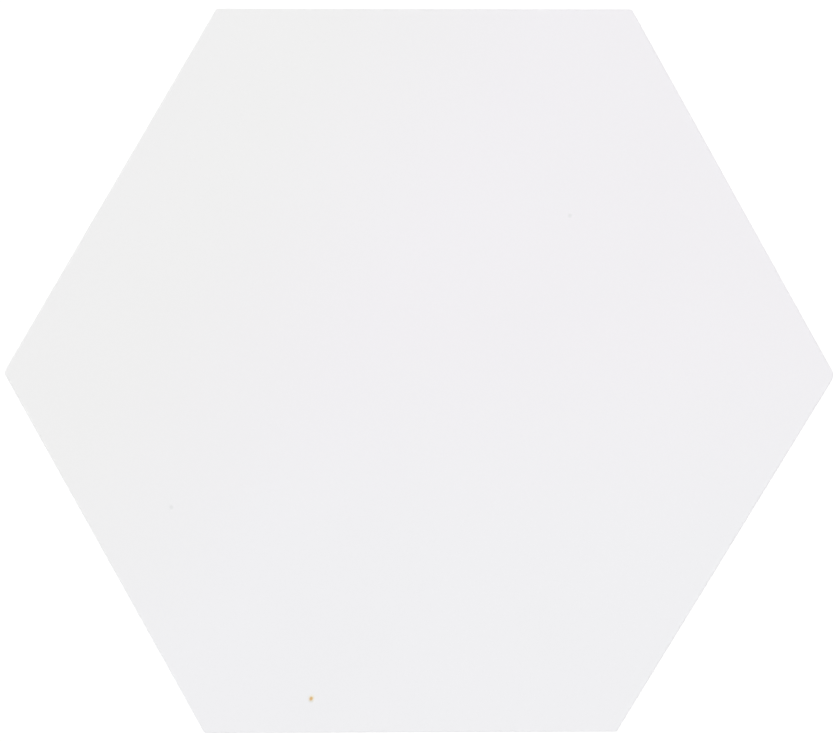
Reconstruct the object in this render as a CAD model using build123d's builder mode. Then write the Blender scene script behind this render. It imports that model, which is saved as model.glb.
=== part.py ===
from build123d import *

import os

# White hexagon tile, pressed in one piece, lying on its back with its face up.
# Millimetres, +Z up. The origin is the middle of the back, +X points to the right-hand corner
# and +Y to the top side, as the tile is seen from above.

# Driving sizes
across_flats = 200.0        # from one side to the opposite side
thickness = 16.0
face_arris = 0.3            # small round where the face meets the sides
back_arris = 0.5            # chamfer where the back meets the sides

# Corners seen from above, measured on the flats inside the arrises
corner_round = 0.3          # the four crisp corners
left_corner_round = 1.7     # the left-hand corner is worn
right_corner_round = 2.5    # the right-hand corner is worn more

# The mould is put together by hand, so no two sides lie alike.
# Offset: how far a side stands outside (+) or inside (-) the true hexagon.
# Lean: degrees that a side is turned from true, anticlockwise as seen from above.
upper_right_offset = 0.2
upper_right_lean = -1.0
top_offset = 0.3
top_lean = -0.1
upper_left_offset = -0.8
upper_left_lean = -0.3
lower_left_offset = 0.9
lower_left_lean = -0.9
bottom_offset = 0.3
bottom_lean = 0.2
lower_right_offset = -1.0
lower_right_lean = -1.5

# The six sides in order, anticlockwise from the upper right
sides = [
    (upper_right_offset, upper_right_lean),
    (top_offset, top_lean),
    (upper_left_offset, upper_left_lean),
    (lower_left_offset, lower_left_lean),
    (bottom_offset, bottom_lean),
    (lower_right_offset, lower_right_lean),
]
side_step = 360 / len(sides)
first_side_bearing = side_step / 2   # puts a corner on +X and a side across +Y
rim = max(face_arris, back_arris)    # the corners' rounds grow by this much out to the sides


def side_plane(number, offset, lean):
    """Upright plane of one side, with its normal pointing out of the tile."""
    bearing = first_side_bearing + number * side_step + lean
    outward = Vector(1, 0, 0).rotate(Axis.Z, bearing)
    return Plane(origin=outward * (across_flats / 2 + offset), z_dir=outward)


# The tile: a round blank trimmed by its six sides, rounded at the corners, then pressed to thickness
with BuildPart() as hexagon_tile:
    with BuildSketch() as outline:
        Circle(across_flats)
        for number, (offset, lean) in enumerate(sides):
            split(bisect_by=side_plane(number, offset, lean), keep=Keep.BOTTOM)
        fillet(outline.vertices().sort_by(Axis.X)[0], left_corner_round + rim)
        fillet(outline.vertices().sort_by(Axis.X)[-1], right_corner_round + rim)
        fillet(outline.vertices().sort_by(Axis.Y)[:2], corner_round + rim)
        fillet(outline.vertices().sort_by(Axis.Y)[-2:], corner_round + rim)
    extrude(amount=thickness)
    fillet(hexagon_tile.faces().sort_by(Axis.Z)[-1].edges(), face_arris)
    chamfer(hexagon_tile.faces().sort_by(Axis.Z)[0].edges(), back_arris)

hexagon_tile.part.label = "hexagon_tile"

os.makedirs("parts", exist_ok=True)
export_step(hexagon_tile.part, "parts/hexagon_tile.step")
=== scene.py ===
# %% [markdown]
# A white hexagon tile, dressed round its solid
#
# The tile is one slab of white cement mortar, pressed in a six-sided steel mould and left to harden.
# Its plain solid already lies in the shared frame, in metres, with its face up.
# This lesson rebuilds the slab as a fine mesh on the solid's own outline, gives its face, sides and
# back their finishes, and looks at it from straight above.

# %% Load the solid
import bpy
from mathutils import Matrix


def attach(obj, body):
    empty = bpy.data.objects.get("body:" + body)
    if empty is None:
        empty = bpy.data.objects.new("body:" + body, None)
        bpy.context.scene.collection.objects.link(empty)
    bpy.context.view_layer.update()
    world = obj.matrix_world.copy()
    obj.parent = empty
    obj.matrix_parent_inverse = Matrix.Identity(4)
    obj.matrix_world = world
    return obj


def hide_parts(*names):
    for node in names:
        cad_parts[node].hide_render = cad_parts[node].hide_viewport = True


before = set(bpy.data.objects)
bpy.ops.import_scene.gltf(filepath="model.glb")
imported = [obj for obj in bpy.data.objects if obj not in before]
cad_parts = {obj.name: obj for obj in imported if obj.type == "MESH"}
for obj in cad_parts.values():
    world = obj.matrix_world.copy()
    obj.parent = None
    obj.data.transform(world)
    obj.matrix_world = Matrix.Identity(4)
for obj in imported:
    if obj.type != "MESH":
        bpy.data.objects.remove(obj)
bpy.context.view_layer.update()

# %% Tools of the lesson
import math

import bmesh
import bpy
import numpy as np
from mathutils import Vector, geometry, noise

MM = 0.001
NODE = "hexagon_tile"

# %% [markdown]
# Six sides, measured on the solid
#
# The steel mould is put together by hand, so no two sides of the tile lie alike, and two of its corners
# are worn round. The numbers could be typed in again, but a copy goes stale when the solid changes.
# A convex shape seen from above is its own convex hull, so the outline is read from the solid. A hull
# point at which the outline doesn't turn would cut a side in two, so such points are dropped first. Then
# the six longest edges are the sides, and the short edges between them are the round corners.

# %% Outline seen from above
NO_TURN = math.sin(math.radians(0.1))


def crossed(first, second):
    """Signed area between flat vectors: positive where the second lies anticlockwise of the first."""
    return first[:, 0] * second[:, 1] - first[:, 1] * second[:, 0]


points = np.array([vertex.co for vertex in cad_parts[NODE].data.vertices])
seen_from_above = np.unique(points[:, :2], axis=0)
plan = seen_from_above[geometry.convex_hull_2d([Vector(point) for point in seen_from_above])]
if crossed(plan, np.roll(plan, -1, axis=0)).sum() < 0:
    plan = plan[::-1]
headings = np.roll(plan, -1, axis=0) - plan
headings /= np.linalg.norm(headings, axis=1)[:, None]
plan = plan[crossed(np.roll(headings, 1, axis=0), headings) > NO_TURN]
print(len(plan), "points in the outline of the solid")

# %% The six sides
SIDE_COUNT = 6

edges = np.roll(plan, -1, axis=0) - plan
lengths = np.linalg.norm(edges, axis=1)
sides = []
for first in sorted(np.argsort(lengths)[-SIDE_COUNT:]):
    along = edges[first] / lengths[first]
    sides.append({
        "start": plan[first],
        "end": plan[first] + edges[first],
        "length": lengths[first],
        "along": along,
        "out": np.array([along[1], -along[0]]),
    })
for side in sides:
    from_middle = side["start"] @ side["out"]
    print(f"side {side['length'] / MM:.1f} mm long, {from_middle / MM:.2f} mm from the middle")

# %% Corners and edge rounds
NEAR = 0.001 * MM

for side, after in zip(sides, sides[1:] + sides[:1]):
    chord = np.linalg.norm(after["start"] - side["end"])
    side["turn"] = math.acos(side["along"] @ after["along"])
    side["round"] = chord / (2 * math.sin(side["turn"] / 2))

on_outline = [np.linalg.norm(plan - point[:2], axis=1).min() < NEAR for point in points]
back, top = points[:, 2].min(), points[:, 2].max()
face_arris = top - points[on_outline][:, 2].max()
back_arris = points[on_outline][:, 2].min() - back
print("corner rounds (mm):", [round(side["round"] / MM, 2) for side in sides])
print(f"face arris {face_arris / MM:.2f} mm, back arris {back_arris / MM:.2f} mm")
print(f"{(top - back) / MM:.1f} mm thick")

# %% [markdown]
# Walking round the outline
#
# Everything that follows is strung on one walk round the tile: straight steps along a side, then a few
# small turns round its corner. Each step also keeps the direction that faces outward, because the edge
# of the face, the sides and the back all step inward from this line.

# %% Walk round the outline
WALK_STEP = 0.5 * MM
CORNER_STEP = math.radians(6)

steps, outward, side_of = [], [], []
for number, side in enumerate(sides):
    count = round(side["length"] / WALK_STEP)
    for share in np.arange(count) / count:
        steps.append(side["start"] + side["along"] * side["length"] * share)
        outward.append(side["out"])
    centre = side["end"] - side["out"] * side["round"]
    bearing = math.atan2(side["out"][1], side["out"][0])
    count = math.ceil(side["turn"] / CORNER_STEP)
    for share in np.arange(count) / count:
        angle = bearing + side["turn"] * share
        outward.append(np.array([math.cos(angle), math.sin(angle)]))
        steps.append(centre + outward[-1] * side["round"])
    side_of += [number] * (len(steps) - len(side_of))
steps, outward, side_of = np.array(steps), np.array(outward), np.array(side_of)
print(len(steps), "steps round the tile")

# %% [markdown]
# The edge of the tile, row by row
#
# A knife-sharp edge would chip in the mould, so the face ends in a small round, the arris, and the back
# in a small chamfer. A bevel modifier could cut both, but here the rows also carry the skin of the cast
# mortar, so the section is written down as rows of (inset from the outline, height) and lofted.
# The first row lies flat, just inside the arris. It keeps the smooth shading of the round off the face.

# %% Rows of the section
FLAT_RIM = 0.2 * MM
ARRIS_STEPS = 5
FACE_ROWS = 1 + ARRIS_STEPS
ROW_STEP = 0.5 * MM
CHAMFER_STEPS = 3

rows = [(face_arris + FLAT_RIM, top)]
for angle in np.linspace(0, math.pi / 2, ARRIS_STEPS + 1):
    rows.append((face_arris * (1 - math.sin(angle)), top - face_arris * (1 - math.cos(angle))))
side_top, side_foot = top - face_arris, back + back_arris
for height in np.linspace(side_top, side_foot, round((side_top - side_foot) / ROW_STEP) + 1)[1:]:
    rows.append((0.0, height))
for share in np.arange(1, CHAMFER_STEPS + 1) / CHAMFER_STEPS:
    rows.append((back_arris * share, back + back_arris * (1 - share)))
print(len(rows), "rows from the face to the back")

# %% [markdown]
# The skin of pressed mortar
#
# The face is pressed against a polished plate and comes out smooth. The sides only slide along the mould
# and the back meets the press, so both show sand. Bump in a material would do for the finest grain, but
# lumps a few millimetres wide catch the light along an edge, so they are real relief.
# Fractal noise stands for the sand. It only ever takes material away, so the tile keeps its size.

# %% Noise of the cast skin
NOISE_FALLOFF = 1.0
NOISE_STEP = 2.0
NOISE_OCTAVES = 4


def cast_skin(places, lump, seed):
    """From 0 to 1 at each place: how far the skin lies back, with lumps about one lump wide."""
    shift = Vector((seed, seed, seed))
    spots = [Vector(place) / lump + shift for place in places]
    heights = [noise.fractal(spot, NOISE_FALLOFF, NOISE_STEP, NOISE_OCTAVES) for spot in spots]
    return np.clip((1 + np.array(heights)) / 2, 0, 1)


print("noise of", NOISE_OCTAVES, "octaves ready")

# %% Sides with their skin
SIDE_LUMP = 2.4 * MM
SIDE_DEPTH = 0.14 * MM
SIDE_FADE = 2.0 * MM
SIDE_SEED = 3
CRUMB_LUMP = 5.0 * MM
CRUMB_DEPTH = 0.30 * MM
CRUMB_REACH = 3 * back_arris
CRUMB_SEED = 11

loft, deepest = [], 0.0
for inset, height in rows:
    ring = np.column_stack([steps - outward * inset, np.full(len(steps), height)])
    below_face = max(0.0, side_top - height)
    sandy = min(1.0, below_face / SIDE_FADE)
    crumbly = max(0.0, 1 - (height - back) / CRUMB_REACH)
    eaten = SIDE_DEPTH * sandy * cast_skin(ring, SIDE_LUMP, SIDE_SEED)
    eaten += CRUMB_DEPTH * crumbly * cast_skin(ring, CRUMB_LUMP, CRUMB_SEED)
    ring[:, :2] -= outward * eaten[:, None]
    loft.append(ring)
    deepest = max(deepest, eaten.max())
print(f"the skin of the sides lies back by up to {deepest / MM:.2f} mm")

# %% [markdown]
# Filling the face and the back
#
# Both are flat regions inside a ring. A single polygon would have more than a thousand corners, which
# neither shades nor exports well, so Delaunay triangulation fills the ring, through the points put inside
# it. Those points form a honeycomb: a wide one for the flat face, a close one for the back, where the
# sandy relief moves each point.

# %% Honeycomb and filling
INSIDE_ONLY = 1
WELD = 0.0001 * MM


def honeycomb(step, reach):
    """Points a step apart, out to a reach from the middle."""
    spots = []
    for row, y in enumerate(np.arange(-reach, reach, step * math.sqrt(3) / 2)):
        stagger = (row % 2) * step / 2
        spots += [(x + stagger, y) for x in np.arange(-reach, reach, step)]
    return np.array(spots)


def inside(spots, margin):
    """Those of the spots that lie at least a margin away from every side of the tile."""
    room = np.min([(side["start"] - spots) @ side["out"] for side in sides], axis=0)
    return spots[room > margin]


def fill(ring, inner):
    """Triangles that fill a ring, through inner points, which are counted after those of the ring."""
    places = [Vector(place[:2]) for place in (*ring, *inner)]
    rim = [(k, (k + 1) % len(ring)) for k in range(len(ring))]
    _, _, faces, from_place, _, _ = geometry.delaunay_2d_cdt(places, rim, [], INSIDE_ONLY, WELD)
    return [[from_place[k][0] for k in face] for face in faces]


tile_reach = np.abs(steps).max()
print("ready to fill a ring of", len(steps), "points")

# %% Points of the back
BACK_STEP = 1.25 * MM
BACK_MARGIN = 2 * back_arris + BACK_STEP
BACK_LUMP = 3.2 * MM
BACK_DEPTH = 0.22 * MM
BACK_SEED = 23

back_plan = inside(honeycomb(BACK_STEP, tile_reach), BACK_MARGIN)
back_points = np.column_stack([back_plan, np.full(len(back_plan), back)])
for part in (back_points, loft[-1]):
    part[:, 2] += BACK_DEPTH * cast_skin(part, BACK_LUMP, BACK_SEED)
lowest = min(back_points[:, 2].min(), loft[-1][:, 2].min())
for part in (back_points, loft[-1]):
    part[:, 2] -= lowest - back
hollowest = back_points[:, 2].max() - back
print(f"{len(back_points)} points in the back, relief up to {hollowest / MM:.2f} mm")

# %% [markdown]
# Marks in the face
#
# A few small marks break the white: a grain of iron ore near the bottom side, with its rusty stain round it
# and a pit just below, and two pinholes where an air bubble sat against the plate. They are small enough to
# be painted, but a hollow that is really there also catches light from the side, so each gets a patch of
# close points, and all but the stain a little depth. Their colours come later, in the material of the face.

# %% Places of the marks
def mark_at(x, y, half_width, half_height, depth):
    """A mark in the face, given in millimetres."""
    return {"place": (x * MM, y * MM), "radii": (half_width * MM, half_height * MM), "depth": depth * MM}


MARKS = {
    "grain_pit": mark_at(-30.0, -91.6, half_width=0.90, half_height=0.80, depth=0.05),
    "iron_stain": mark_at(-29.9, -90.8, half_width=1.15, half_height=1.30, depth=0.0),
    "iron_grain": mark_at(-29.97, -90.95, half_width=0.60, half_height=0.82, depth=0.03),
    "right_pinhole": mark_at(41.8, 43.0, half_width=0.82, half_height=0.86, depth=0.06),
    "left_pinhole": mark_at(-68.65, -37.9, half_width=0.72, half_height=0.85, depth=0.08),
}
for name, mark in MARKS.items():
    print(name, "at", [round(value / MM, 2) for value in mark["place"]], "mm")

# %% Points of the face
FACE_STEP = 3.0 * MM
MARK_STEP = 0.2 * MM
MARK_REACH = 1.3 * MM


def hollow(mark, spots):
    """Depth of a mark at each spot: deepest in its middle, and running out at its radii."""
    share = np.linalg.norm((spots - mark["place"]) / mark["radii"], axis=1)
    return mark["depth"] * np.clip(1 - share ** 2, 0, None) ** 2


face_plan = inside(honeycomb(FACE_STEP, tile_reach), margin=FACE_STEP)
for mark in MARKS.values():
    patch = honeycomb(MARK_STEP, MARK_REACH) + mark["place"]
    free = [np.linalg.norm(face_plan - spot, axis=1).min() > MARK_STEP / 2 for spot in patch]
    face_plan = np.concatenate([face_plan, patch[free]])
sunk = np.max([hollow(mark, face_plan) for mark in MARKS.values()], axis=0)
face_points = np.column_stack([face_plan, top - sunk])
print(len(face_points), "points in the face")

# %% Fill both
face_triangles = fill(loft[0], face_points)
back_triangles = fill(loft[-1], back_points)
print(len(face_triangles), "triangles in the face,", len(back_triangles), "in the back")

# %% [markdown]
# One closed mesh
#
# A tile is one piece, so its face, sides and back become one mesh that shares the points along
# its edges. Three material slots on it tell the smooth face from the sandy sides and the pressed back.
# The smooth shading is broken only where two faces meet at a real edge.

# %% Polygons of the tile
FACE_SLOT, SIDE_SLOT, BACK_SLOT = 0, 1, 2

count = len(steps)
inner_face = count * len(loft)
inner_back = inner_face + len(face_points)
last_ring = count * (len(loft) - 1)

polygons, skins = [], []
for row in range(len(loft) - 1):
    above, below = row * count, (row + 1) * count
    for k in range(count):
        beside = (k + 1) % count
        polygons.append((above + k, below + k, below + beside, above + beside))
        skins.append(FACE_SLOT if row < FACE_ROWS else SIDE_SLOT)
for face in face_triangles:
    polygons.append([k if k < count else inner_face + k - count for k in face])
    skins.append(FACE_SLOT)
for face in back_triangles:
    polygons.append([last_ring + k if k < count else inner_back + k - count for k in reversed(face)])
    skins.append(BACK_SLOT)
print(len(polygons), "polygons,", skins.count(SIDE_SLOT), "of them in the sides")

# %% Mesh of the tile
SHARP_ANGLE = math.radians(38)

mesh = bpy.data.meshes.new("cement_tile")
mesh.from_pydata(np.concatenate([*loft, face_points, back_points]).tolist(), [], polygons)
mesh.polygons.foreach_set("material_index", skins)
mesh.polygons.foreach_set("use_smooth", [True] * len(polygons))
mesh.set_sharp_from_angle(angle=SHARP_ANGLE)
tile = bpy.data.objects.new("cement_tile", mesh)
bpy.context.scene.collection.objects.link(tile)
print("mesh", mesh.name, "with", len(mesh.vertices), "points")

# %% Check that the tile is closed
CUBIC_CENTIMETRE = (10 * MM) ** 3

probe = bmesh.new()
probe.from_mesh(mesh)
open_edges = sum(not edge.is_manifold for edge in probe.edges)
volume = probe.calc_volume(signed=True)
probe.free()
print(f"{open_edges} open edges, {volume / CUBIC_CENTIMETRE:.1f} cubic centimetres")

# %% The tile stands for the solid
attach(tile, "root")
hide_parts(NODE)
print("cement_tile rides on root and stands for", NODE)

# %% [markdown]
# Unfolding the tile
#
# A finish made of nodes has to be baked into pictures before another program can show it, and the pictures
# need a map: a flat sheet on which each polygon has its place. Blender can unfold a mesh by itself, but it
# would tear the sandy sides into shreds. A tile unfolds as plainly as a paper model: the face at full size,
# with its arris rolled out flat, the six sides as strips below it, and the back, which is seldom seen,
# smaller in the corner that is left. The map is named OFBake.

# %% Lengths along the tile
down = np.concatenate([[0.0], np.cumsum(np.linalg.norm(np.diff(rows, axis=0), axis=1))])
stretch = np.linalg.norm(np.roll(steps, -1, axis=0) - steps, axis=1)
walked = np.cumsum(stretch) - stretch
first_steps = np.searchsorted(side_of, np.arange(SIDE_COUNT))
from_corner = walked - walked[first_steps][side_of]
print(f"{stretch.sum() / MM:.1f} mm round the tile, {down[-1] / MM:.2f} mm down its edge")

# %% Places on the sheet
SHEET_TO_TILE = 1.26
SHEET_GAP = 1.5 * MM
BACK_SCALE = 0.55

low, high = steps.min(axis=0), steps.max(axis=0)
sheet_width = SHEET_TO_TILE * (high - low)[0]
strip_step = (sheet_width - 2 * SHEET_GAP - (high - low)[1]) / SIDE_COUNT
side_scale = (strip_step - SHEET_GAP) / (down[-1] - down[FACE_ROWS])


def face_on_sheet(places):
    """In the upper left-hand corner, at full size."""
    return places + [SHEET_GAP - low[0], sheet_width - SHEET_GAP - high[1]]


def side_on_sheet(distance, row):
    """In the lower left-hand corner, a strip for each side, with the edge of the face upward."""
    height = side_scale * (down[-1] - down[row])
    return np.column_stack([SHEET_GAP + side_scale * distance, SHEET_GAP + strip_step * side_of + height])


def back_on_sheet(places):
    """In the lower right-hand corner, mirrored, because the back is seen from below."""
    across, upward = BACK_SCALE * (places - low).T
    return np.column_stack([sheet_width - SHEET_GAP - across, SHEET_GAP + upward])


print(f"sheet {sheet_width / MM:.1f} mm wide, scales: sides {side_scale:.2f}, back {BACK_SCALE}")

# %% Map of the tile
rings = [face_on_sheet(steps + outward * (reach - rows[0][0])) for reach in down[:FACE_ROWS + 1]]
on_sheet = []
for row in range(len(loft) - 1):
    if row < FACE_ROWS:
        upper, lower = rings[row], rings[row + 1]
        upper_next, lower_next = np.roll(upper, -1, axis=0), np.roll(lower, -1, axis=0)
    else:
        upper, lower = side_on_sheet(from_corner, row), side_on_sheet(from_corner, row + 1)
        upper_next = side_on_sheet(from_corner + stretch, row)
        lower_next = side_on_sheet(from_corner + stretch, row + 1)
    on_sheet.append(np.stack([upper, lower, lower_next, upper_next], axis=1).reshape(-1, 2))
flat_face = np.concatenate([rings[0], face_on_sheet(face_plan)])
flat_back = back_on_sheet(np.concatenate([loft[-1], back_points])[:, :2])
on_sheet.append(flat_face[np.concatenate(face_triangles)])
on_sheet.append(flat_back[np.concatenate([face[::-1] for face in back_triangles])])

shares = np.concatenate(on_sheet) / sheet_width
mesh.uv_layers.new(name="OFBake").uv.foreach_set("vector", shares.ravel())
print(f"map of {len(shares)} corners, from {shares.min():.3f} to {shares.max():.3f} of the sheet")

# %% [markdown]
# Node helpers
#
# A material is a small graph. Making each node by hand takes three or four lines that hide the idea, so
# one helper adds a node, sets its options and fills its sockets with numbers or links.
# Another opens a node group with named inputs and outputs, for what several finishes share.

# %% Helpers for nodes
def add(tree, kind, inputs=None, **options):
    """Adds a node, sets its options, and fills its sockets with values or with links."""
    node = tree.nodes.new("ShaderNode" + kind)
    for name, value in options.items():
        setattr(node, name, value)
    for key, value in (inputs or {}).items():
        if isinstance(value, bpy.types.NodeSocket):
            tree.links.new(value, node.inputs[key])
        else:
            node.inputs[key].default_value = value
    return node


def math_node(tree, operation, first, second=0.0, third=0.0):
    """One arithmetic step; gives its output socket."""
    return add(tree, "Math", {0: first, 1: second, 2: third}, operation=operation).outputs[0]


def new_group(name, inputs, outputs):
    """A node group with a Vector and other inputs; gives its tree, what it is given and its results."""
    tree = bpy.data.node_groups.new(name, "ShaderNodeTree")
    tree.interface.new_socket("Vector", in_out="INPUT", socket_type="NodeSocketVector")
    for label, value in inputs.items():
        kind = "NodeSocketVector" if isinstance(value, tuple) else "NodeSocketFloat"
        tree.interface.new_socket(label, in_out="INPUT", socket_type=kind).default_value = value
    for label in outputs:
        tree.interface.new_socket(label, in_out="OUTPUT", socket_type="NodeSocketFloat")
    return tree, tree.nodes.new("NodeGroupInput").outputs, tree.nodes.new("NodeGroupOutput").inputs


print("helpers for nodes ready")

# %% [markdown]
# Shared effect: cloud
#
# Mortar never mixes quite evenly, so a white tile has pale clouds a few centimetres wide. They are so
# faint that a flat colour would almost do, yet without them the face looks like paper.
# All three finishes use the cloud, so it is a node group: one soft noise, spread over 0 to 1.

# %% Node group: cement cloud
CLOUD_DETAIL = 2.0
CLOUD_LOW, CLOUD_HIGH = 0.3, 0.7

cloud_group, given, result = new_group("cement_cloud", {"Width": 40 * MM}, ["Cloud"])
frequency = math_node(cloud_group, "DIVIDE", 1.0, given["Width"])
soft = add(cloud_group, "TexNoise", {
    "Vector": given["Vector"], "Scale": frequency, "Detail": CLOUD_DETAIL})
spread = add(cloud_group, "MapRange", {
    "Value": soft.outputs[0], "From Min": CLOUD_LOW, "From Max": CLOUD_HIGH})
cloud_group.links.new(spread.outputs[0], result["Cloud"])
print("group", cloud_group.name)

# %% [markdown]
# Shared effect: sand grain
#
# Close up, cement is fine sand held in paste. Noise with several octaves gives the paste its tooth and its
# tone, and Voronoi cells, a little wider, raise the separate grains of sand as low domes. One group holds
# both and puts out a tone for the colour and a height for the bump, so the polished face can take a trace
# of it and the back a great deal.

# %% Node group: sand grain
PASTE_DETAIL = 4.0
PASTE_ROUGHNESS = 0.65
SAND_TO_PASTE = 0.6
SAND_TONE = 0.12
MIDDLE = 0.5

grain_group, given, result = new_group("sand_grain", {"Width": 0.5 * MM}, ["Tone", "Height"])
frequency = math_node(grain_group, "DIVIDE", 1.0, given["Width"])
paste = add(grain_group, "TexNoise", {
    "Vector": given["Vector"], "Scale": frequency,
    "Detail": PASTE_DETAIL, "Roughness": PASTE_ROUGHNESS}).outputs[0]
sand = add(grain_group, "TexVoronoi", {
    "Vector": given["Vector"], "Scale": math_node(grain_group, "MULTIPLY", frequency, SAND_TO_PASTE)})
own_tone = add(grain_group, "RGBToBW", {0: sand.outputs["Color"]}).outputs[0]
own_tone = math_node(grain_group, "SUBTRACT", own_tone, MIDDLE)
grain_group.links.new(math_node(grain_group, "MULTIPLY_ADD", own_tone, SAND_TONE, paste), result["Tone"])
dome = math_node(grain_group, "SUBTRACT", 1.0, sand.outputs["Distance"])
both_heights = math_node(grain_group, "ADD", paste, dome)
grain_group.links.new(math_node(grain_group, "DIVIDE", both_heights, 2.0), result["Height"])
print("group", grain_group.name)

# %% [markdown]
# Shared effect: scattered dots
#
# Tiny bubbles stay in pressed mortar and open on its skin as pores: under a fifth of a millimetre wide on
# the face, up to a millimetre on the sides. Darker grains of sand lie scattered in the same way. Modelling
# thousands would be wasteful, so a Voronoi pattern places them: one possible dot in each cell, kept only
# where the cell's random colour says so, and from about a third of the radius to all of it in size.

# %% Node group: scattered dots
SMALLEST_DOT = 0.3

dot_group, given, result = new_group(
    "scattered_dots", {"Spacing": 3 * MM, "Radius": 0.1 * MM, "Share": 0.3}, ["Dot"])
frequency = math_node(dot_group, "DIVIDE", 1.0, given["Spacing"])
cells = add(dot_group, "TexVoronoi", {"Vector": given["Vector"], "Scale": frequency})
draws = add(dot_group, "SeparateColor", {0: cells.outputs["Color"]}).outputs
kept = math_node(dot_group, "LESS_THAN", draws["Red"], given["Share"])
size = math_node(dot_group, "MULTIPLY_ADD", draws["Green"], 1 - SMALLEST_DOT, SMALLEST_DOT)
widest = math_node(dot_group, "MULTIPLY", given["Radius"], frequency)
within = add(dot_group, "MapRange", {
    "Value": cells.outputs["Distance"],
    "From Min": 0.0, "From Max": math_node(dot_group, "MULTIPLY", widest, size),
    "To Min": 1.0, "To Max": 0.0}, interpolation_type="SMOOTHSTEP")
dot_group.links.new(math_node(dot_group, "MULTIPLY", within.outputs[0], kept), result["Dot"])
print("group", dot_group.name)

# %% [markdown]
# A mark at a place
#
# The marks have ragged rims: crisp round the iron grain, soft round its stain. A node group measures the
# distance from a centre, bends it with a little noise, and turns it into a mask that is whole as far out as
# the crisp share of its radii and runs out from there, so the same group serves all the marks.

# %% Node group: mark
WOBBLE_WIDTH = 0.9 * MM
WOBBLE_DETAIL = 1.0

mark_group, given, result = new_group(
    "mark", {"Centre": (0.0, 0.0, 0.0), "Radii": (MM, MM, MM), "Ragged": 0.3, "Crisp": 0.0}, ["Mask"])
offset = add(mark_group, "VectorMath", {0: given["Vector"], 1: given["Centre"]}, operation="SUBTRACT")
shares = add(mark_group, "VectorMath", {0: offset.outputs[0], 1: given["Radii"]}, operation="DIVIDE")
share = add(mark_group, "VectorMath", {0: shares.outputs[0]}, operation="LENGTH").outputs["Value"]
wobble = add(mark_group, "TexNoise", {
    "Vector": given["Vector"], "Scale": 1 / WOBBLE_WIDTH, "Detail": WOBBLE_DETAIL})
bend = math_node(mark_group, "SUBTRACT", wobble.outputs[0], MIDDLE)
bent_share = math_node(mark_group, "MULTIPLY_ADD", bend, given["Ragged"], share)
mask = add(mark_group, "MapRange", {
    "Value": bent_share, "From Min": given["Crisp"], "From Max": 1.0,
    "To Min": 1.0, "To Max": 0.0}, interpolation_type="SMOOTHSTEP")
mark_group.links.new(mask.outputs[0], result["Mask"])
print("group", mark_group.name)

# %% [markdown]
# One way to start and end a cement finish
#
# All three finishes are the same white mortar, so they start alike, with a cloud, a grain and pores in
# object coordinates, and end alike, with a colour, a roughness and a bump. Two helpers do that, with the
# widths and strengths of one skin. Only what varies goes through nodes. What is the same all over, such
# as the reflectance, stays a plain number on the shader.

# %% Helpers for colour
MIX_FACTOR, MIX_FIRST, MIX_SECOND, MIX_RESULT = 0, 6, 7, 2


def mix_colour(tree, factor, first, second):
    """First colour where the factor is 0, second where it is 1; gives the output socket."""
    inputs = {MIX_FACTOR: factor, MIX_FIRST: first, MIX_SECOND: second}
    return add(tree, "Mix", inputs, data_type="RGBA").outputs[MIX_RESULT]


def dotted(tree, colour, dots, shade, dot_colour):
    """A colour with dots of another colour in it, laid on at a shade from 0 to 1."""
    return mix_colour(tree, math_node(tree, "MULTIPLY", dots, shade), colour, dot_colour)


def toned(tree, colour, value, strength):
    """A colour times a gain about 1 that follows a value from 0 to 1."""
    gain = math_node(tree, "MULTIPLY_ADD", value, strength, 1 - strength / 2)
    return add(tree, "VectorMath", {0: colour, "Scale": gain}, operation="SCALE").outputs[0]


print("helpers for colour ready")

# %% Helpers for cement
def place_group(tree, group, inputs):
    """Puts a node group into a material and fills its inputs; gives its outputs."""
    return add(tree, "Group", inputs, node_tree=group).outputs


def start_cement(name, skin):
    """A new material on the tile, with the cloud, the grain and the pores of a skin."""
    material = bpy.data.materials.new(name)
    material.use_nodes = True
    tile.data.materials.append(material)
    tree = material.node_tree
    where = add(tree, "TexCoord").outputs["Object"]
    cloud = place_group(tree, cloud_group, {"Vector": where, "Width": skin["cloud_width"]})["Cloud"]
    grain = place_group(tree, grain_group, {"Vector": where, "Width": skin["grain_width"]})
    pores = place_group(tree, dot_group, {"Vector": where, **skin["pores"]})["Dot"]
    return tree, where, cloud, grain, pores


def end_cement(tree, skin, colour, grain, pores):
    """Feeds the shader its colour, a roughness that follows the grain, and bump with sunken pores."""
    shader = tree.nodes["Principled BSDF"]
    rough = math_node(tree, "MULTIPLY_ADD", grain["Tone"], skin["roughness_gain"], skin["roughness"])
    relief = math_node(tree, "MULTIPLY_ADD", pores, -skin["pore_depth"], grain["Height"])
    bump = add(tree, "Bump", {"Height": relief, "Distance": skin["bump_depth"]})
    tree.links.new(colour, shader.inputs["Base Color"])
    tree.links.new(rough, shader.inputs["Roughness"])
    tree.links.new(bump.outputs[0], shader.inputs["Normal"])


print("helpers for cement ready")
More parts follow.
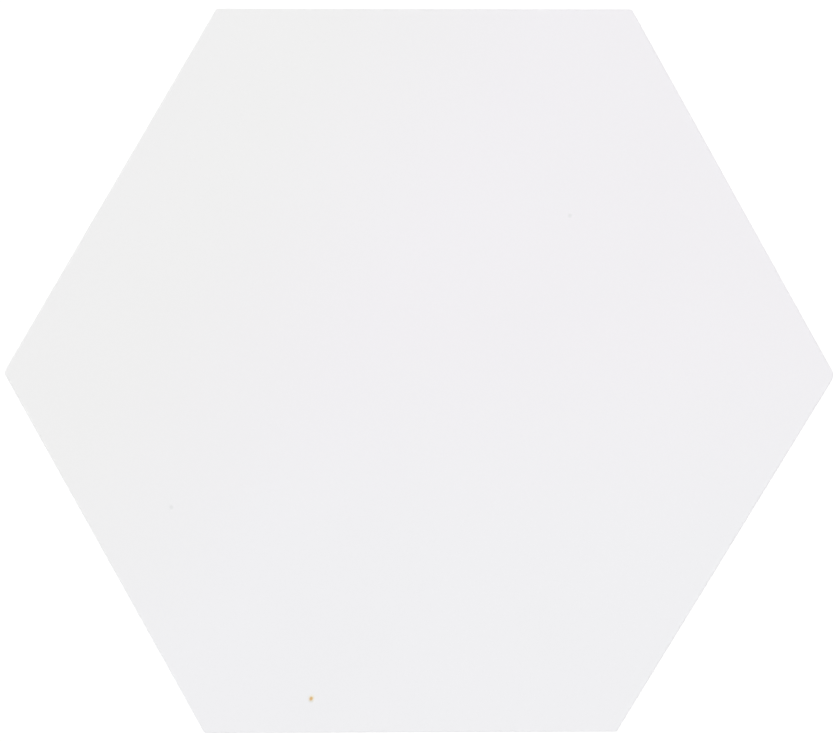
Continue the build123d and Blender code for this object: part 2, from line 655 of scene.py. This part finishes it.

# %% [markdown]
# Finish of the face
#
# The face is white, matt and very even: neutral at the left, a trace of violet at the upper right and a
# trace of blue towards the bottom. A flat white would be close, but the drift and the clouds, though they
# stay within a few levels of 255, keep it from looking drawn. Its pores are greyed with painted shade. The
# marks get their own colours last: rust for the iron grain, and soft greys for the pit and the pinholes,
# which are painted shade in those hollows.

# %% White of the face
FACE_SKIN = {
    "cloud_width": 45 * MM,
    "grain_width": 0.45 * MM,
    "pores": {"Spacing": 2.5 * MM, "Radius": 0.09 * MM, "Share": 0.35},
    "pore_shade": 0.5,
    "pore_depth": 1.0,
    "cloud_tone": 0.008,
    "grain_tone": 0.03,
    "roughness": 0.76,
    "roughness_gain": 0.12,
    "bump_depth": 0.012 * MM,
}
# Grey laid into the pores of every finish: painted shade in these tiny hollows.
PAINTED_PORE_SHADE = (0.62, 0.62, 0.64, 1)
LEFT_WHITE = (0.865, 0.8635, 0.864, 1)
TOP_WHITE = (0.871, 0.8695, 0.870, 1)
VIOLET_WHITE = (0.878, 0.8645, 0.889, 1)
BLUE_WHITE = (0.870, 0.869, 0.887, 1)
TO_THE_TOP = {"towards": (0.0, 1.0, 0.0), "start": 25 * MM, "end": 55 * MM}
TO_THE_BOTTOM = {"towards": (0.0, -1.0, 0.0), "start": -10 * MM, "end": 50 * MM}
TO_THE_RIGHT = {"towards": (0.866, -0.5, 0.0), "start": -72 * MM, "end": -18 * MM}


def drift(tree, where, towards, start, end):
    """0 before the start and 1 after the end, measured from the middle in one direction."""
    across = add(tree, "VectorMath", {0: where, 1: towards}, operation="DOT_PRODUCT").outputs["Value"]
    return add(tree, "MapRange", {"Value": across, "From Min": start, "From Max": end}).outputs[0]


tree, where, cloud, grain, pores = start_cement("cement_face", FACE_SKIN)
neutral = mix_colour(tree, drift(tree, where, **TO_THE_TOP), LEFT_WHITE, TOP_WHITE)
tinted = mix_colour(tree, drift(tree, where, **TO_THE_BOTTOM), VIOLET_WHITE, BLUE_WHITE)
colour = mix_colour(tree, drift(tree, where, **TO_THE_RIGHT), neutral, tinted)
colour = toned(tree, colour, cloud, FACE_SKIN["cloud_tone"])
colour = toned(tree, colour, grain["Tone"], FACE_SKIN["grain_tone"])
# The pores are greyed with painted shade, and the bump sinks them too.
colour = dotted(tree, colour, pores, FACE_SKIN["pore_shade"], PAINTED_PORE_SHADE)
print("cement_face starts with", len(tree.nodes), "nodes")

# %% Marks of the face, and its finish
# The greys of the pit and the pinholes are painted shade in those hollows; the rust of the grain and its
# stain is their own colour.
MARK_LOOKS = {
    "grain_pit": {"colour": (0.755, 0.755, 0.755, 1), "crisp": 0.0},
    "iron_stain": {"colour": (0.77, 0.66, 0.38, 1), "crisp": 0.0},
    "iron_grain": {"colour": (0.715, 0.44, 0.19, 1), "crisp": 0.4},
    "right_pinhole": {"colour": (0.805, 0.805, 0.815, 1), "crisp": 0.3},
    "left_pinhole": {"colour": (0.775, 0.775, 0.785, 1), "crisp": 0.3},
}
RAGGED = 0.5
MARK_HALF_THICKNESS = 1 * MM

for name, mark in MARKS.items():
    mask = place_group(tree, mark_group, {
        "Vector": where,
        "Centre": (*mark["place"], top),
        "Radii": (*mark["radii"], MARK_HALF_THICKNESS),
        "Ragged": RAGGED,
        "Crisp": MARK_LOOKS[name]["crisp"],
    })["Mask"]
    colour = mix_colour(tree, mask, colour, MARK_LOOKS[name]["colour"])
end_cement(tree, FACE_SKIN, colour, grain, pores)
print("material cement_face with", len(MARKS), "marks")

# %% [markdown]
# Finish of the sides and the back
#
# The sides slid along the mould and the back met the press, so their sand shows. They are the same white
# mortar, a shade duller, with wider grain, deeper bump, wider pores and the darker grains of the sand laid
# bare. Their pores are greyed with painted shade, and the back's whites are darker again: painted shade of
# its rougher skin. One function makes both.

# %% Materials: sides and back
SIDE_SKIN = {
    "whites": ((0.82, 0.815, 0.805, 1), (0.86, 0.855, 0.845, 1)),
    "cloud_width": 18 * MM,
    "grain_width": 0.9 * MM,
    "pores": {"Spacing": 2.6 * MM, "Radius": 0.5 * MM, "Share": 0.4},
    "pore_shade": 0.6,
    "pore_depth": 2.0,
    "sand": {"Spacing": 0.6 * MM, "Radius": 0.25 * MM, "Share": 0.9},
    "sand_shade": 0.5,
    "grain_tone": 0.30,
    "roughness": 0.70,
    "roughness_gain": 0.2,
    "bump_depth": 0.12 * MM,
}
BACK_SKIN = {
    **SIDE_SKIN,
    # Darker whites than the sides': painted shade of the back's rougher skin.
    "whites": ((0.77, 0.76, 0.745, 1), (0.82, 0.81, 0.795, 1)),
    "grain_width": 1.2 * MM,
    "roughness": 0.75,
    "bump_depth": 0.20 * MM,
}
SAND_GREY = (0.55, 0.525, 0.49, 1)


def sandy_cement(name, skin):
    """White mortar with its sand showing, clouded between two whites."""
    tree, where, cloud, grain, pores = start_cement(name, skin)
    sand = place_group(tree, dot_group, {"Vector": where, **skin["sand"]})["Dot"]
    colour = toned(tree, mix_colour(tree, cloud, *skin["whites"]), grain["Tone"], skin["grain_tone"])
    colour = dotted(tree, colour, sand, skin["sand_shade"], SAND_GREY)
    # The pores are greyed with painted shade, and the bump sinks them deeper.
    colour = dotted(tree, colour, pores, skin["pore_shade"], PAINTED_PORE_SHADE)
    end_cement(tree, skin, colour, grain, pores)
    print("material", name)


sandy_cement("cement_sides", SIDE_SKIN)
sandy_cement("cement_back", BACK_SKIN)

# %% [markdown]
# Floor and surroundings
#
# The tile lies on a pure white ground. More light would bleach the tile too, so the ground helps itself:
# seen by the camera, or in a reflection, the floor adds a little glow of its own and the world is just over
# white, so that no noise shows in it. To every other ray the floor is just pale paint, so it keeps the soft
# shadow round the tile, and the world is a dim room with one bright wall, which tells the six sides apart.

# %% Floor
FLOOR_WIDTH = 6.0
FLOOR_WHITE = (0.85, 0.85, 0.85, 1)
FLOOR_GLOW = 0.22


def seen_directly(tree):
    """1 for a camera, glossy or transmission ray, 0 for the light that falls on things."""
    path = add(tree, "LightPath").outputs
    seen = math_node(tree, "MAXIMUM", path["Is Camera Ray"], path["Is Glossy Ray"])
    return math_node(tree, "MAXIMUM", seen, path["Is Transmission Ray"])


bpy.ops.mesh.primitive_plane_add(size=FLOOR_WIDTH, location=(0, 0, back))
floor = bpy.context.object
floor.name = "floor"
paint = bpy.data.materials.new("floor_paint")
paint.use_nodes = True
tree = paint.node_tree
tree.nodes.clear()
matt = add(tree, "BsdfDiffuse", {"Color": FLOOR_WHITE})
glow = add(tree, "Emission", {"Strength": math_node(tree, "MULTIPLY", seen_directly(tree), FLOOR_GLOW)})
both = add(tree, "AddShader", {0: matt.outputs[0], 1: glow.outputs[0]})
add(tree, "OutputMaterial", {"Surface": both.outputs[0]})
floor.data.materials.append(paint)
print("floor", FLOOR_WIDTH, "m wide")

# %% World
WALL_TOWARDS = (-0.8, 0.6, 0.0)
WALL_LEVEL, ROOM_LEVEL = 0.55, 0.35
SEEN_WHITE = 1.05

world = bpy.data.worlds.new("studio")
bpy.context.scene.world = world
world.use_nodes = True
tree = world.node_tree
tree.nodes.clear()
towards = add(tree, "TexCoord").outputs["Generated"]
facing = add(tree, "VectorMath", {0: towards, 1: WALL_TOWARDS}, operation="DOT_PRODUCT").outputs["Value"]
light = add(tree, "MapRange", {
    "Value": facing, "From Min": -1.0, "From Max": 1.0,
    "To Min": ROOM_LEVEL, "To Max": WALL_LEVEL}).outputs[0]
level = add(tree, "MapRange", {"Value": seen_directly(tree), "To Min": light, "To Max": SEEN_WHITE})
sky = add(tree, "Background", {"Color": (1, 1, 1, 1), "Strength": level.outputs[0]})
add(tree, "OutputWorld", {"Surface": sky.outputs[0]})
print("world from", ROOM_LEVEL, "to", WALL_LEVEL)

# %% [markdown]
# Light
#
# The face is evenly lit and the ground shows no cast shadow, so the light comes from nearly overhead. A
# lamp close by would leave its falloff on the white, so a sun with a wide disc stands in for a large soft
# box far away. It leans a few degrees, as a soft box hung beside the camera does.

# %% Sun
SUN_STRENGTH = 1.695
SUN_DISC = math.radians(20)
SUN_LEAN = math.radians(-3)

lamp = bpy.data.lights.new("soft_box", "SUN")
lamp.energy = SUN_STRENGTH
lamp.angle = SUN_DISC
soft_box = bpy.data.objects.new("soft_box", lamp)
soft_box.rotation_euler = (SUN_LEAN, SUN_LEAN, 0)
bpy.context.scene.collection.objects.link(soft_box)
print("sun", SUN_STRENGTH, "W per square metre")

# %% [markdown]
# Camera
#
# The photograph looks straight down on the face. A flat face doesn't tell how far off the camera was, so
# a near one is taken: from there the face hides the strip of floor that lies in its soft shadow, and the
# ground stays white up to the edge, as in the photograph. The lens follows from the width of the field,
# photograph pixels times the size of a pixel on the face. A camera that isn't turned looks down with +X to
# the right, as the photograph does.

# %% Camera
PHOTO_WIDTH, PHOTO_HEIGHT = 840, 742
TILE_MIDDLE_X, TILE_MIDDLE_Y = 419.1, 370.6
FLATS_IN_PIXELS = 721.6
ACROSS_FLATS = 200 * MM
DISTANCE = 0.36
SENSOR_WIDTH = 36.0

pixel = ACROSS_FLATS / FLATS_IN_PIXELS
lens = bpy.data.cameras.new("camera")
lens.sensor_width = SENSOR_WIDTH
lens.lens = SENSOR_WIDTH * DISTANCE / (PHOTO_WIDTH * pixel)
camera = bpy.data.objects.new("camera", lens)
camera.location = (
    (PHOTO_WIDTH / 2 - TILE_MIDDLE_X) * pixel,
    (TILE_MIDDLE_Y - PHOTO_HEIGHT / 2) * pixel,
    top + DISTANCE,
)
bpy.context.scene.collection.objects.link(camera)
bpy.context.scene.camera = camera
bpy.context.scene.view_settings.view_transform = "Standard"
print(f"lens {lens.lens:.1f} mm, {pixel / MM:.4f} mm to a pixel")
